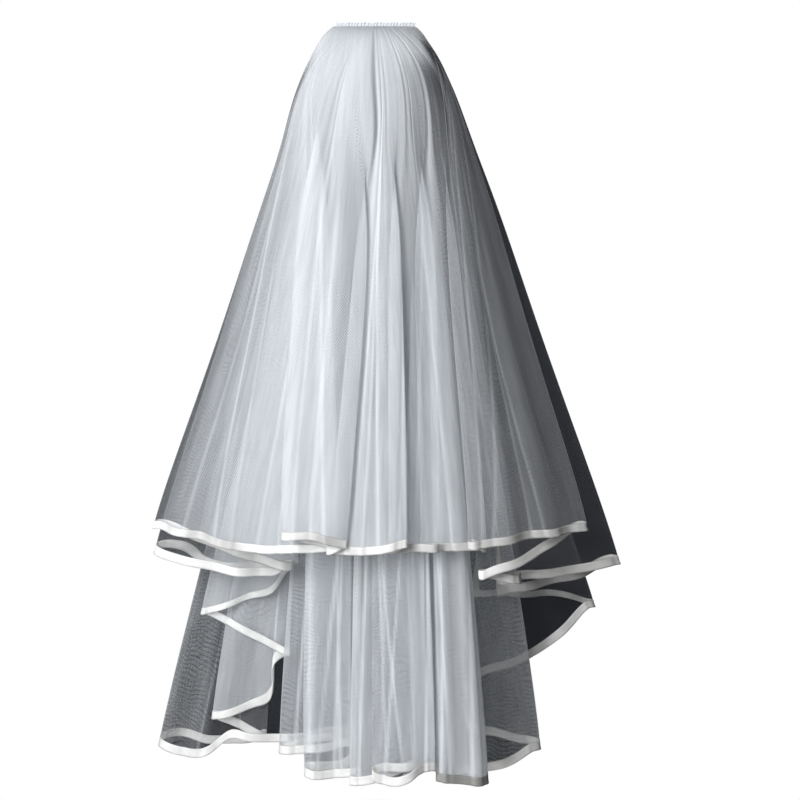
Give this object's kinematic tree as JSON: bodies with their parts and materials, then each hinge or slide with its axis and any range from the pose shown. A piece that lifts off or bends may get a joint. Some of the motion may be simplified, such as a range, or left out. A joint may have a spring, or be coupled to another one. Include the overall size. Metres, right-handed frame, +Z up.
{
  "type": "bridal veil",
  "caption": "Two-tier sheer tulle bridal veil, gathered on a small hair comb, with cascading side folds and a satin ribbon edge.",
  "frame": {"origin": "middle of the comb's spine, where the hair holds the veil", "axes": "+Z up, -Y the outer side that faces away from the wearer's head, +X to the right of someone who looks at the outer side"},
  "size_m": [0.5012, 0.2252, 0.7929],
  "materials": {
    "tulle": "sheer matt net",
    "ribbon": "satin",
    "comb": "smooth"
  },
  "bodies": {
    "root": {"comb": "comb", "upper_tier": "tulle", "upper_ribbon": "ribbon", "lower_tier": "tulle", "lower_ribbon": "ribbon"}
  },
  "joints": []
}
